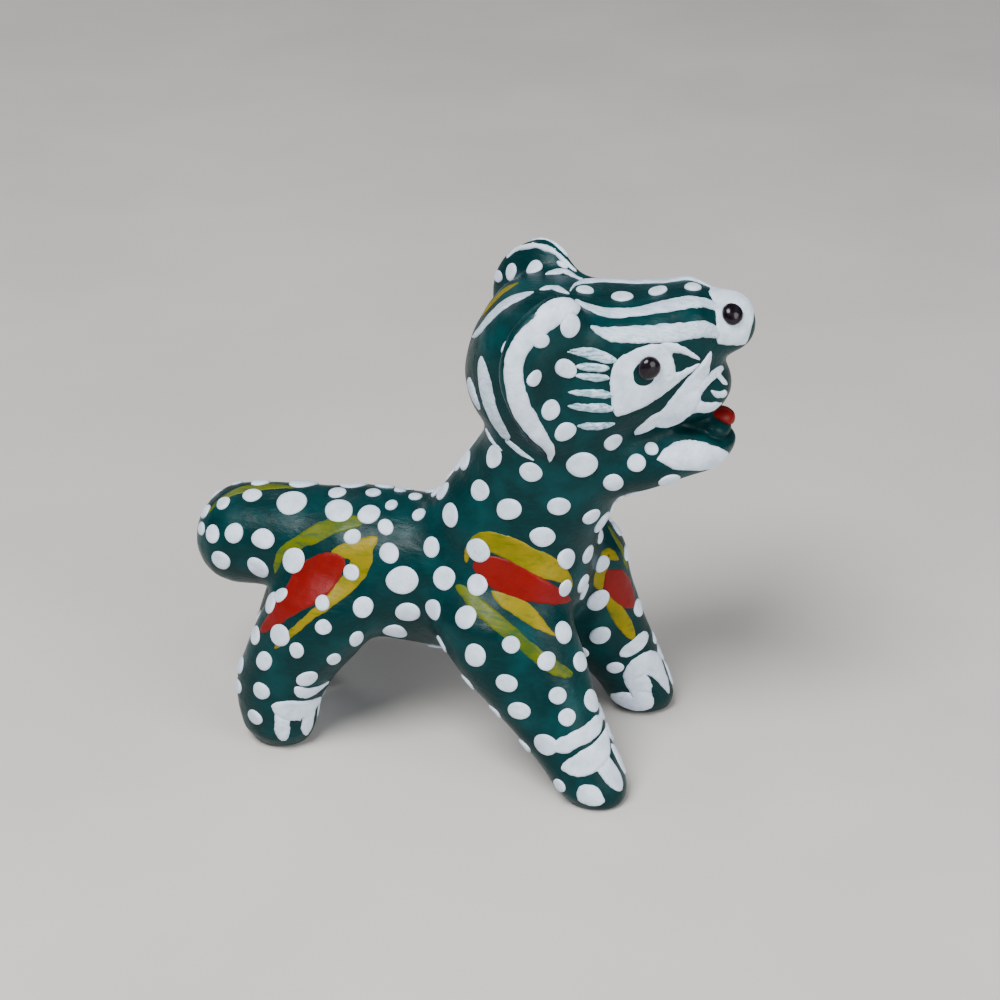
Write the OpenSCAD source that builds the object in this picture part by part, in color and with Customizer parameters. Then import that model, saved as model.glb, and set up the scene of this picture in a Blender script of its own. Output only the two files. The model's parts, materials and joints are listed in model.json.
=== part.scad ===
// Miniature painted clay animal: lumps of clay luted together, then decorated with thick paint.
// Millimetres. +X is forward, +Y is the figure's left, +Z is up, and the soles stand on z = 0.
// The head is drawn looking straight forward and then turned about the neck.

/* [Figure] */
// Turn of the head to the figure's left, in degrees
head_turn = 10; // [0:1:14]
// Height of the torso's middle above the floor
torso_z = 15.3; // [14.8:0.1:15.8]
// How far the left front foot stands ahead of the right one
left_step = 1.2; // [0:0.1:2]

/* [Paint] */
// Thickness of the paint dots and strokes
dab_t = 0.2; // [0.15:0.05:0.35]
// Diameter of the glossy bead in each eye
pupil_d = 1.8; // [1.6:0.1:2.4]

/* [Hidden] */
// The middle of the whole figure's outline, which is moved to the origin
middle = [-1.5, 0, 0];
sink = 0.15;
green = [0.02, 0.28, 0.24];
white = [0.88, 0.88, 0.9];
red = [0.68, 0.14, 0.1];
yellow = [0.6, 0.55, 0.08];
olive = [0.42, 0.5, 0.14];
black = [0.08, 0.07, 0.09];
RIGHT = [0, -1, 0];
UP = [0, 0, 1];
FORWARD = [1, 0, 0];

// ---- surfaces ----
// A limb is [stations, side, up, dome at the start, dome at the end, squareness of the upper half].
// A station is [x, y, z, half width along side, half height along up].
// A squareness of 2 or none is an ellipse.
function curve(list, s) =
    let(n = len(list) - 1, u = min(max(s, 0), 1) * n, i = min(floor(u), n - 1), t = u - i,
        a = list[max(i - 1, 0)], b = list[i], c = list[i + 1], d = list[min(i + 2, n)])
    0.5 * (2 * b + (c - a) * t + (2 * a - 5 * b + 4 * c - d) * t * t + (3 * b - a - 3 * c + d) * t * t * t);
function place(q) = [q[0], q[1], q[2]];
function unit(v) = v / norm(v);
function roundness(distance, dome) =
    dome == 0 ? 1 : let(v = min(distance / dome, 1)) sqrt(1 - (1 - v) * (1 - v));
function fullness(limb, q) =
    roundness(norm(place(q) - place(limb[0][0])), limb[3])
    * roundness(norm(place(q) - place(limb[0][len(limb[0]) - 1])), limb[4]);
function squareness(limb, h) = limb[5] == undef || h < 0 ? 2 : limb[5];
function bent(v, power) = sign(v) * pow(abs(v), 2 / power);
// The point of a limb's skin at s along it and at the angle phi round it
function skin(limb, s, phi) =
    let(q = curve(limb[0], s), k = fullness(limb, q), power = squareness(limb, sin(phi)))
    place(q) + k * q[3] * bent(cos(phi), power) * limb[1] + k * q[4] * bent(sin(phi), power) * limb[2];

module limb_solid(limb, rings = 18, sides = 24) {
    first = limb[3] > 0 ? 1 : 0;
    last = limb[4] > 0 ? rings - 1 : rings;
    count = last - first + 1;
    points = [for (i = [first:last]) for (j = [0:sides - 1])
        skin(limb, (1 - cos(180 * i / rings)) / 2, 360 * j / sides)];
    stations = limb[0];
    ends = [place(stations[0]), place(stations[len(stations) - 1])];
    flip = cross(limb[1], limb[2]) * (ends[1] - ends[0]) > 0;
    faces = concat(
        [for (i = [0:count - 2]) for (j = [0:sides - 1])
            let(a = i * sides + j, b = i * sides + (j + 1) % sides)
            each [[a, b + sides, b], [a, a + sides, b + sides]]],
        [for (j = [0:sides - 1]) [j, (j + 1) % sides, count * sides]],
        [for (j = [0:sides - 1])
            [(count - 1) * sides + (j + 1) % sides, (count - 1) * sides + j, count * sides + 1]]);
    polyhedron(concat(points, ends), [for (f = faces) flip ? f : [f[2], f[1], f[0]]]);
}

// ---- the limbs; where a limb has a left and a right one, this is the right one ----
TORSO = [[[-15, 0, torso_z, 4.8, 4.8], [-11, 0, torso_z, 5.6, 5.8], [-5, 0, torso_z - 0.4, 5.4, 6.2],
    [1, 0, torso_z, 5.9, 6.6], [6, 0, torso_z + 1, 6, 6.6],
    [9.3, 0, torso_z + 2.8, 4.6, 4.8]], RIGHT, UP, 3, 5];
NECK = [[[1.3, 0, 15, 5.2, 6.2], [2.8, 0, 20.5, 5.4, 7.1], [4.9, 0, 24.5, 5.2, 6.4], [6.6, 0, 29, 5.2, 5.8],
    [7.5, 0, 33, 5.2, 5.6]], RIGHT, -FORWARD, 0, 0];
TAIL = [[[-23.6, 0, torso_z + 0.6, 4.0, 3.9], [-20.5, 0, torso_z + 0.9, 4.1, 4.1],
    [-16, 0, torso_z + 1.2, 4.2, 4.2], [-11, 0, torso_z + 1.1, 4.6, 4.6]], RIGHT, UP, 3.6, 0];
function lean(z) = 1 + z / 14;
function stepped(leg, step) = [[for (q = leg) q + [step * lean(q[2]), 0, 0, 0, 0]], RIGHT, FORWARD, 4, 1.6];
FRONT_LEG = stepped([[1.5, -3.6, 17.5, 4.1, 6.1], [3.45, -4.9, 12, 3.8, 5.8], [6.45, -6.0, 7.5, 3.2, 4.4],
    [9.7, -6.9, 3, 2.8, 3.15], [11.4, -7.3, -0.4, 2.6, 2.8]], 0);
LEFT_LEG = stepped([[1.9, -3.4, 20.5, 3.8, 5.6], [3.4, -4.7, 13.5, 3.8, 5.6], [6.9, -6.0, 7.5, 3.2, 4.3],
    [9.9, -6.9, 3, 2.8, 3.2], [11.5, -7.3, -0.4, 2.6, 2.8]], left_step);
HIND_LEG = [[[-10.2, -3.4, 17, 3.6, 5.2], [-12.2, -4.0, 11.5, 3.7, 5.0], [-15.1, -4.3, 6.5, 3.3, 4.0],
    [-16.0, -4.4, 3, 3.0, 3.3], [-15.8, -4.4, -0.4, 2.6, 2.8]], RIGHT, FORWARD, 4, 1.6];
HEAD = [[[-0.9, 0, 33.0, 4.8, 5.2], [1.8, 0, 33.6, 5.4, 6.1], [4.5, 0, 33.5, 6.1, 6.6],
    [8, 0, 33.4, 6.2, 6.5], [11.5, 0, 34.0, 5.5, 5.7], [14, 0, 34.9, 4.7, 5.2], [17, 0, 36.2, 3.8, 4.4],
    [18.4, 0, 36.4, 3.2, 3.7]],
    RIGHT, UP, 4.5, 2.2, 3.6];
MUZZLE = [[[10, 0, 31.6, 4.8, 3.6], [14, 0, 32.5, 4.3, 3.1], [17, 0, 32.9, 3.6, 2.7],
    [19.3, 0, 32.9, 2.9, 2.1]],
    RIGHT, UP, 0, 2.2];
JAW = [[[8.5, 0, 26.9, 4.8, 3.8], [11, 0, 27, 4.5, 3.5], [14, 0, 27.3, 4.0, 2.9], [17, 0, 27.9, 3.4, 2.4],
    [19.8, 0, 28.2, 2.8, 2.0]], RIGHT, UP, 0, 2.4];
TONGUE = [[[16.5, 0, 29.5, 1.0, 0.8], [18, 0, 29.7, 1.15, 0.95],
    [19.75, 0, 29.75, 1.05, 1.0]], RIGHT, UP, 1, 1.2];
nose_at = [18.3, 0, 37.6];
nose_r = 2.5;
// An ear is an upright half disc on the rear of the head's side, spread outward and back; its front is
// pressed hollow.
ear_out = [-0.86, -0.5, 0];
ear_face = [0.5, -0.86, 0];
EAR = [[[6.6, -5.0, 28.6, 1.2, 0.9], [5.8, -5.8, 31.5, 2.6, 1.2], [5.2, -6.0, 34.5, 3.4, 1.4],
    [5.2, -6.0, 37.0, 3.7, 1.5], [5.8, -5.7, 39.4, 3.6, 1.4], [6.0, -5.4, 41.8, 2.1, 1.1]],
    ear_out, ear_face, 2, 2.6];
EAR_PRESS = [[[6.7, -6.4, 30.5, 1.0, 0.5], [6.4, -7.2, 33, 1.7, 0.9], [6.2, -7.5, 36, 2.0, 1.2],
    [6.6, -7.1, 39.5, 1.5, 0.6]], ear_out, ear_face, 1.5, 1.5];

module placed() translate(-middle) children();
module turned() translate([5, 0, 0]) rotate(head_turn) translate([-5, 0, 0]) children();
module side(m) mirror([0, m < 0 ? 1 : 0, 0]) children();
module ear_shift(m) translate([m < 0 ? -1.2 : 0, 0, 0]) children();
module hind_shift(m) translate([m < 0 ? -1.2 : 0, 0, 0]) children();

// ---- clay lumps, each one cut to the face of the lump that it is luted to ----
module torso_form() limb_solid(TORSO, 16, 28);
module neck_form() limb_solid(NECK, 8, 28);
module head_form() limb_solid(HEAD, 20, 28);
module muzzle_form() limb_solid(MUZZLE, 12, 24);
module jaw_form() limb_solid(JAW, 14, 24);
module nose_form() translate(nose_at) sphere(nose_r, $fn = 48);
module floor_cut() translate([-40, -40, -10]) cube([80, 80, 10]);

module torso() color(green) torso_form();
module neck() color(green) difference() {
    neck_form();
    torso_form();
    turned() head_form();
}
module head() color(green) turned() head_form();
module muzzle() color(green) turned() difference() {
    muzzle_form();
    head_form();
}
module nose() color(green) turned() difference() {
    nose_form();
    head_form();
    muzzle_form();
}
module jaw() color(green) difference() {
    turned() jaw_form();
    turned() head_form();
    neck_form();
}
module tongue() color(red) turned() difference() {
    limb_solid(TONGUE, 10, 20);
    muzzle_form();
    jaw_form();
    head_form();
}
module ear(m) color(green) turned() side(m) difference() {
    ear_shift(m) limb_solid(EAR, 14, 20);
    head_form();
    ear_shift(m) limb_solid(EAR_PRESS, 8, 14);
}
module tail() color(green) difference() {
    limb_solid(TAIL, 12, 24);
    torso_form();
}
module leg_front(m) color(green) difference() {
    side(m) limb_solid(m > 0 ? FRONT_LEG : LEFT_LEG, 12, 20);
    torso_form();
    neck_form();
    floor_cut();
}
module leg_hind(m) color(green) side(m) difference() {
    hind_shift(m) limb_solid(HIND_LEG, 12, 20);
    torso_form();
    floor_cut();
}

// ---- where the paint goes: a point of the figure's right flank from its x and z ----
function along(limb, axis) = [for (i = [0:40]) [curve(limb[0], i / 40)[axis], i / 40]];
function ends_of(limb, axis) = let(n = len(limb[0]) - 1) [limb[0][0][axis], limb[0][n][axis]];
function inside(v, pair) = v > min(pair) && v < max(pair);
// Distance of a limb's skin to the right of the middle plane, for a limb that runs along x, or one that
// runs along z
function flank_x(limb, table, x, z) = !inside(x, ends_of(limb, 0)) ? 0 :
    let(q = curve(limb[0], lookup(x, table)), k = fullness(limb, q), h = (z - q[2]) / (q[4] * k),
        power = squareness(limb, h))
    abs(h) < 1 ? q[3] * k * pow(1 - pow(abs(h), power), 1 / power) - q[1] : 0;
function flank_z(limb, table, x, z) = !inside(z, ends_of(limb, 2)) ? 0 :
    let(q = curve(limb[0], lookup(z, table)), k = fullness(limb, q), h = (x - q[0]) / (q[4] * k))
    abs(h) < 1 ? q[3] * k * sqrt(1 - h * h) - q[1] : 0;
function flank_ear(x, z) = !inside(z, ends_of(EAR, 2)) ? 0 :
    let(q = curve(EAR[0], lookup(z, EAR_Z)), k = fullness(EAR, q),
        a = ear_out.x * q[3] * k, b = ear_face.x * q[4] * k,
        c = (x - q[0]) / norm([a, b]), at = atan2(b, a))
    abs(c) < 1 ? max([for (w = [acos(c), -acos(c)])
        -q[1] - ear_out.y * q[3] * k * cos(at + w) - ear_face.y * q[4] * k * sin(at + w)]) : 0;
TORSO_X = along(TORSO, 0);
TAIL_X = along(TAIL, 0);
NECK_Z = along(NECK, 2);
FRONT_Z = along(FRONT_LEG, 2);
LEFT_Z = along(LEFT_LEG, 2);
HIND_Z = along(HIND_LEG, 2);
HEAD_X = along(HEAD, 0);
MUZZLE_X = along(MUZZLE, 0);
JAW_X = along(JAW, 0);
EAR_Z = along(EAR, 2);
body_depth = function (x, z) max(flank_x(TORSO, TORSO_X, x, z), flank_x(TAIL, TAIL_X, x, z),
    flank_z(NECK, NECK_Z, x, z), flank_z(FRONT_LEG, FRONT_Z, x, z), flank_z(HIND_LEG, HIND_Z, x, z));
left_depth = function (x, z) max(flank_x(TORSO, TORSO_X, x, z), flank_z(LEFT_LEG, LEFT_Z, x, z));
face_depth = function (x, z) max(flank_x(HEAD, HEAD_X, x, z), flank_x(MUZZLE, MUZZLE_X, x, z),
    flank_x(JAW, JAW_X, x, z), flank_ear(x, z));
skull_depth = function (x, z) max(flank_x(HEAD, HEAD_X, x, z), flank_x(MUZZLE, MUZZLE_X, x, z));

function outward(depth, x, z) = let(e = 0.1)
    unit([depth(x - e, z) - depth(x + e, z), -2 * e, depth(x, z - e) - depth(x, z + e)]);
function flank_point(depth, x, z, lift) = [x, -depth(x, z), z] + lift * outward(depth, x, z);
function limb_outward(limb, s, phi) = let(a = skin(limb, s + 0.01, phi) - skin(limb, s - 0.01, phi),
    b = skin(limb, s, phi + 2) - skin(limb, s, phi - 2), n = unit(cross(a, b)))
    n * (skin(limb, s, phi) - place(curve(limb[0], s))) > 0 ? n : -n;

// A paint dot is a low disc that stands square to the skin.
module dab(at, out, d) translate(at - sink * out) rotate([0, acos(out.z), atan2(out.y, out.x)])
    cylinder(h = sink + dab_t, d1 = d, d2 = 0.8 * d, $fn = 24);
// Dots at [x, z, diameter] on a flank, and dots at [s, phi, diameter] round a limb
module flank_dots(depth, list) for (q = list)
    dab([q[0], -depth(q[0], q[1]), q[1]], outward(depth, q[0], q[1]), q[2]);
module limb_dots(limb, list) for (q = list)
    dab(skin(limb, q[0], q[1]), limb_outward(limb, q[0], q[1]), q[2]);

// A paint stroke is a low ribbon through rings of six points: its left edge, middle and right edge, below
// and above.
module ribbon(rings) {
    n = len(rings);
    faces = concat(
        [for (i = [0:n - 2]) for (j = [0:5])
            let(a = 6 * i + j, b = 6 * i + (j + 1) % 6) each [[a, b + 6, b], [a, a + 6, b + 6]]],
        [for (c = [[0, 1, 4], [0, 4, 5], [1, 2, 3], [1, 3, 4]]) c],
        [for (c = [[0, 1, 4], [0, 4, 5], [1, 2, 3], [1, 3, 4]])
            [c[2], c[1], c[0]] + 6 * (n - 1) * [1, 1, 1]]);
    polyhedron([for (r = rings) each r], faces);
}
PROFILE = [[-1, -sink], [0, -sink], [1, -sink], [1, 0.6 * dab_t], [0, dab_t], [-1, 0.6 * dab_t]];
function end_round(t, length, width) = let(d = min(t, 1 - t) * length / max(width / 2, 0.1))
    0.3 + 0.7 * roundness(min(d, 1), 1);
function reach(list) = norm([list[0][0], list[0][1]] - [list[len(list) - 1][0], list[len(list) - 1][1]]);
// A stroke along [x, z, width] points on a flank
module flank_stroke(depth, list, steps = 3) {
    count = steps * (len(list) - 1);
    ribbon([for (i = [0:count])
        let(q = curve(list, i / count), d = curve(list, (i + 0.3) / count) - curve(list, (i - 0.3) / count),
            across = unit([-d[1], d[0]]), w = q[2] / 2 * end_round(i / count, reach(list), q[2]))
        each [[for (k = PROFILE)
            flank_point(depth, q[0] + k[0] * w * across[0], q[1] + k[0] * w * across[1], k[1])]]]);
}
// A stroke along [s, phi, width] points round a limb
module limb_stroke(limb, list, steps = 3) {
    count = steps * (len(list) - 1);
    ribbon([for (i = [0:count])
        let(q = curve(list, i / count),
            a = curve(list, (i - 0.3) / count), b = curve(list, (i + 0.3) / count),
            out = limb_outward(limb, q[0], q[1]),
            across = unit(cross(out, skin(limb, b[0], b[1]) - skin(limb, a[0], a[1]))),
            w = q[2] / 2 * min(1, 0.3 + 4 * i / count, 0.3 + 4 * (1 - i / count)), drop = w * w / 9)
        each [[for (k = PROFILE)
            skin(limb, q[0], q[1]) + k[0] * w * across + (k[1] - abs(k[0]) * drop) * out]]]);
}

// ---- dots: [x, z, diameter] on a flank, or [s, phi, diameter] round a limb ----
BODY_DOTS = [[-5, 16.6, 2.6], [-9.1, 16.9, 1.4], [-7.9, 14.4, 1.8], [-4.6, 13.8, 2.1], [-2.5, 14.8, 1.8],
    [-5.9, 11.4, 2.1], [-1.6, 17.3, 2], [7.7, 19.3, 1.8], [7.8, 16.9, 1.5],
    [1.1, 20.1, 2.1], [1.2, 17.3, 1.8]];
BACK_DOTS = [[0.2, 67, 2.5], [0.29, 65, 1.9], [0.34, 76, 1.1], [0.34, 55, 1.4], [0.42, 68, 1.2],
    [0.26, 44, 1.4], [0.36, 35, 1.7], [0.47, 42, 1.6], [0.97, 25, 1.6],
    [0.95, 324, 1.6]];
MID_DOTS = [[0.28, 91, 1.3], [0.39, 92, 1.2], [0.47, 89, 1.3], [0.34, 272, 1.8], [0.44, 255, 1.6],
    [0.46, 292, 1.7], [0.55, 270, 1.8], [0.62, 300, 1.5], [0.64, 245, 1.6], [0.94, 290, 1.6]];
NECK_DOTS = [[9, 28.1, 2.5], [5.2, 27.3, 1.8], [3.5, 23.9, 2], [7.3, 24.4, 1.8], [6.1, 21.7, 2]];
NAPE_DOTS = [[0.67, 43, 1.9], [0.56, 77, 1.8], [0.51, 39, 1.9], [0.34, 46, 1.9], [0.39, 74, 1.6],
    [0.4, 306, 1.6], [0.31, 285, 2]];
TAIL_DOTS = [[-21.2, 17.8, 1.5], [-19.3, 18.2, 1.7], [-16.8, 18.1, 1.9], [-20.5, 15.7, 1.8],
    [-17.3, 15.5, 2], [-14.1, 16.8, 2.2]];
RUMP_DOTS = [[0.16, 61, 1.3], [0.31, 64, 1.3], [0.49, 75, 1.6], [0.73, 68, 2.6], [0.15, 33, 1.2]];
FRONT_LEG_DOTS = [[0.6, 15.4, 1.9], [1.6, 12.6, 2], [4.4, 13.8, 1.5], [7.1, 12.4, 1.6], [4.2, 10.7, 1.7],
    [5.2, 8.4, 1.8], [8.1, 9.7, 1.5], [8.9, 8, 1.5], [7.4, 5.8, 2], [8.1, 14.1, 1.8]];
SHIN_DOTS = [[0.28, 81, 1.8], [0.45, 81, 2], [0.8, 329, 1.3], [0.26, 292, 1.7], [0.4, 296, 1.7],
    [0.52, 300, 1.6], [0.65, 304, 1.5]];
LEFT_SHIN_DOTS = [[0.28, 144, 2.1], [0.43, 161, 1.9], [0.6, 170, 1.4], [0.53, 198, 1.4], [0.37, 95, 1.7],
    [0.17, 90, 1.4], [0.11, 74, 1.5], [0.3, 290, 1.6], [0.45, 298, 1.6], [0.62, 302, 1.5]];
INNER_DOTS = [[0.3, 225, 1.6], [0.44, 214, 1.6], [0.68, 232, 1.4], [0.3, 170, 1.6]];
HIND_LEG_DOTS = [[-8.5, 11.5, 1.5], [-10.3, 9.7, 1.3], [-11.1, 14.8, 1.3], [-10.9, 12.9, 1.4],
    [-14.6, 11.5, 2], [-13.1, 10.6, 1.4], [-14.9, 14.4, 1.4], [-16, 8.9, 1.7], [-16.3, 6.2, 1.6],
    [-17.1, 3.4, 1.5], [-12.5, 7.8, 1.8]];
HOCK_DOTS = [[0.17, 300, 1.8], [0.31, 297, 1.7], [0.47, 291, 1.5], [0.58, 300, 1.4], [0.5, 240, 1.5],
    [0.3, 255, 1.5], [0.42, 205, 1.6], [0.6, 190, 1.5], [0.46, 140, 1.5], [0.74, 250, 1.3],
    [0.3, 165, 1.5]];

module both_sides() for (m = [1, -1]) side(m) children();
module dots_torso() color(white) {
    both_sides() flank_dots(body_depth, BODY_DOTS);
    both_sides() limb_dots(TORSO, BACK_DOTS);
    limb_dots(TORSO, MID_DOTS);
}
module dots_neck() color(white) {
    both_sides() flank_dots(body_depth, NECK_DOTS);
    both_sides() limb_dots(NECK, NAPE_DOTS);
    limb_dots(NECK, [[0.5, 90, 1.4], [0.44, 268, 1.7], [0.57, 275, 1.5]]);
}
module dots_tail() color(white) {
    both_sides() flank_dots(body_depth, TAIL_DOTS);
    both_sides() limb_dots(TAIL, RUMP_DOTS);
    limb_dots(TAIL, [[0.93, 90, 1.6], [0.4, 270, 1.6], [0.56, 268, 1.5], [0.3, 268, 1.3]]);
}
module dots_jaw() color(white) turned() both_sides() {
    flank_dots(face_depth, [[13.3, 28.7, 1.1], [12.2, 27.8, 1.5], [10.5, 26.2, 1.7]]);
    limb_dots(JAW, [[0.56, 329, 1.8]]);
}
module dots_brow() color(white) turned()
    limb_dots(HEAD, [[0.43, 90, 1.4], [0.54, 89, 1.8], [0.685, 90, 1.6], [0.81, 90, 1.4]]);
module dots_face(m) color(white) turned() side(m) {
    flank_dots(skull_depth, [[10.3, 29.9, 1.6]]);
    for (q = [[7.2, 39.9, 1.9, 0], [6.8, 36.4, 1.7, 0.3], [5.0, 39.2, 1.3, 0.1], [4.7, 36.2, 1.4, 0.3],
        [5.9, 33.3, 1.7, 0.3], [6.9, 31.3, 1.7, 0]])
        ear_shift(m) dab([q[0], q[3] - face_depth(q[0], q[1]), q[1]], ear_face, q[2]);
}
module dots_leg_front(m) color(white) side(m) {
    if (m > 0) flank_dots(body_depth, FRONT_LEG_DOTS);
    else flank_dots(left_depth, [for (q = FRONT_LEG_DOTS) q + [left_step * lean(q[1]), 0, 0]]);
    limb_dots(m > 0 ? FRONT_LEG : LEFT_LEG, m > 0 ? concat(SHIN_DOTS, INNER_DOTS) : LEFT_SHIN_DOTS);
}
module dots_leg_hind(m) color(white) side(m) hind_shift(m) {
    flank_dots(body_depth, HIND_LEG_DOTS);
    limb_dots(HIND_LEG, HOCK_DOTS);
}

// ---- face ----
module bead(at, out, d) translate(at + (dab_t - 0.3 * d) * out) sphere(d = d, $fn = 32);
module eye_patch(m) color(white) turned() side(m) {
    flank_stroke(skull_depth,
        [[10.5, 32.3, 0.5], [11.3, 33.6, 2.8], [12.2, 35.1, 4.8], [12.9, 36.5, 4.2], [13.2, 37.9, 2.2]]);
    flank_stroke(skull_depth, [[13.6, 37.7, 0.9], [15, 37.4, 0.55], [16, 36.8, 0.45], [16.8, 36.1, 0.3]]);
    flank_stroke(skull_depth, [[12.2, 34.1, 2.2], [14.1, 34.6, 1.3], [15.4, 35.2, 0.7], [16.8, 36.0, 0.3]]);
}
module iris(m) color(green) turned() side(m) dab([12.5, -skull_depth(12.5, 35.7), 35.7]
    + dab_t * outward(skull_depth, 12.5, 35.7), outward(skull_depth, 12.5, 35.7), 2.2);
module pupil(m) color(black) turned() side(m)
    bead([12.8, -skull_depth(12.8, 36.2), 36.2], outward(skull_depth, 12.8, 36.2), pupil_d);
nostril_out = [0.24, -0.76, 0.6];
hidden_nostril_out = [0.3, -0.9, 0.3];
module nostril(m) color(black) turned() side(m) let(out = unit(m > 0 ? nostril_out : hidden_nostril_out))
    bead(nose_at + nose_r * out, out, 0.92 * pupil_d);
module nose_patch() color(white) turned() difference() {
    translate(nose_at) sphere(nose_r + 0.8 * dab_t, $fn = 60);
    nose_form();
    head_form();
    muzzle_form();
    translate(nose_at) rotate([0, 12, 0]) translate([0.8 * nose_r, -5, -5]) cube(10);
    translate(nose_at) rotate([0, 12, 0]) translate([-5, -5, -10 - 0.3 * nose_r]) cube(10);
}
module brow_strokes(m) color(white) turned() side(m) {
    if (m > 0) {
        limb_stroke(HEAD, [[0.4, 84, 0.7], [0.44, 76, 1.1], [0.49, 71, 1.2], [0.55, 70, 1.1],
            [0.63, 70, 1.2], [0.72, 69, 1.4], [0.84, 69, 1.5], [0.93, 69, 1.3]]);
        limb_stroke(HEAD, [[0.29, 89, 0.3], [0.34, 90, 0.9], [0.385, 88, 0.4]]);
    } else {
        limb_stroke(HEAD, [[0.385, 91, 0.3], [0.41, 86, 0.6], [0.44, 81, 0.8], [0.49, 75, 0.9],
            [0.55, 71, 1.0], [0.63, 71, 1.1], [0.72, 74, 1.1], [0.82, 75, 1.1], [0.92, 74, 1.0]]);
        limb_stroke(HEAD, [[0.3, 77, 0.3], [0.34, 71, 0.7], [0.37, 70, 0.7], [0.4, 77, 0.5],
            [0.435, 82, 0.3]]);
    }
    limb_stroke(HEAD, [[0.44, 52, 0.5], [0.5, 45, 1.2], [0.58, 41, 1.35], [0.66, 36, 1.35],
        [0.76, 28, 1.4], [0.87, 20, 1.2], [0.95, 15, 1.2]]);
}
LASHES = [[[6.7, 37.8, 0.3], [8.7, 37.4, 0.85], [10.6, 36.8, 0.7]], [[7.5, 36.5, 0.5], [8.8, 36.4, 0.6],
    [10.1, 36.3, 0.6]], [[7.5, 35.8, 0.5], [8.8, 35.65, 0.6], [10.1, 35.5, 0.7]], [[6.9, 34.5, 0.3],
    [8.6, 34.4, 0.6], [10.4, 34.1, 0.9]], [[6.9, 33.4, 0.3], [8.6, 33.2, 0.75], [10.6, 33, 0.7]],
    [[7.7, 31.7, 0.5], [9.2, 31.5, 0.7], [10.6, 31.7, 0.4]]];
module lashes(m) color(white) turned() side(m) for (q = LASHES) flank_stroke(skull_depth, q, 2);
module ear_rim(m) color(white) turned() side(m) ear_shift(m) {
    if (m < 0) {
        limb_stroke(EAR, [[0.83, 332, 0.5], [0.9, 331, 0.5], [0.955, 288, 0.5], [0.945, 223, 0.5],
            [0.9, 200, 0.45], [0.84, 190, 0.3]]);
        limb_stroke(EAR, [[0.895, 228, 0.4], [0.86, 207, 0.55]]);
    }
    limb_dots(EAR, [[0.83, 264, 1.4], [0.77, 300, 1.4], [0.7, 324, 1.1]]);
    limb_stroke(EAR, [[0.85, 45, 1.0], [0.92, 62, 1.5], [0.935, 100, 1.4], [0.92, 135, 1.3],
        [0.9, 160, 0.6]]);
    flank_stroke(face_depth, [[6.9, 40.5, 0.7], [6.1, 40.6, 1.2], [4.9, 40.1, 1.4], [3.8, 39.2, 1.5],
        [3.2, 38.0, 1.5], [3.1, 36.6, 1.5], [3.3, 35.1, 1.6], [3.9, 33.3, 1.8], [4.8, 31.7, 1.6],
        [5.6, 30.1, 1.0], [5.9, 28.8, 0.3]], 2);
}
module ear_back(m) color(white) {
    turned() side(m) {
        if (m > 0) limb_stroke(HEAD, [[0.28, 88, 0.4], [0.21, 84, 1.4], [0.13, 81, 1.6], [0.075, 82, 1.2],
            [0.04, 92, 0.4]]);
        flank_stroke(skull_depth, [[0.6, 36.2, 0.4], [0.8, 34.6, 1.0], [1.2, 32.6, 1.1], [2, 30.6, 1.0],
            [2.7, 29.6, 0.7]]);
        flank_stroke(skull_depth, [[-0.4, 33.8, 0.3], [-0.2, 32.6, 0.7], [0.4, 31.4, 0.3]]);
    }
    side(m) {
        limb_stroke(NECK, [[0.79, 38, 0.8], [0.75, 26, 0.6], [0.71, 8, 0.25]]);
        limb_stroke(NECK, [[0.77, 66, 0.35], [0.735, 54, 0.4], [0.71, 37, 0.2]]);
    }
}
module crown_yellow() color(yellow) turned() limb_stroke(HEAD,
    [[0.22, 94, 0.4], [0.18, 94, 0.9], [0.14, 95, 1.2], [0.1, 96, 1.1], [0.07, 97, 0.5]]);
module cheek_strokes(m) color(white) turned() side(m) {
    flank_stroke(skull_depth, [[11.8, 30.1, 0.5], [12.9, 30.9, 1.1], [14.2, 32, 1.1]]);
    flank_stroke(skull_depth, [[13.7, 30.6, 1.0], [14.7, 31.5, 2.1], [15.8, 33.1, 2.1], [16.6, 34.7, 1.5],
        [17.2, 35.8, 0.6], [17.4, 36.8, 0.2]]);
    limb_stroke(MUZZLE, [[0.6, 14, 0.6], [0.73, 37, 0.8], [0.86, 62, 0.5]]);
    limb_stroke(MUZZLE, [[0.78, 40, 0.4], [0.86, 34, 0.65], [0.93, 14, 0.4]]);
    limb_stroke(MUZZLE, [[0.75, 13, 0.3], [0.84, -3, 0.6], [0.91, -8, 0.8]]);
    limb_stroke(MUZZLE, [[0.52, -8, 0.8], [0.63, -14, 1.0], [0.74, -24, 1.1], [0.86, -30, 0.5]]);
}
module chin_patch() color(white) turned() both_sides() limb_stroke(JAW,
    [[0.46, 15, 0.3], [0.56, 15, 1.8], [0.69, 9, 2.4], [0.82, -10, 2.2], [0.93, -28, 1.6]]);

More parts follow.
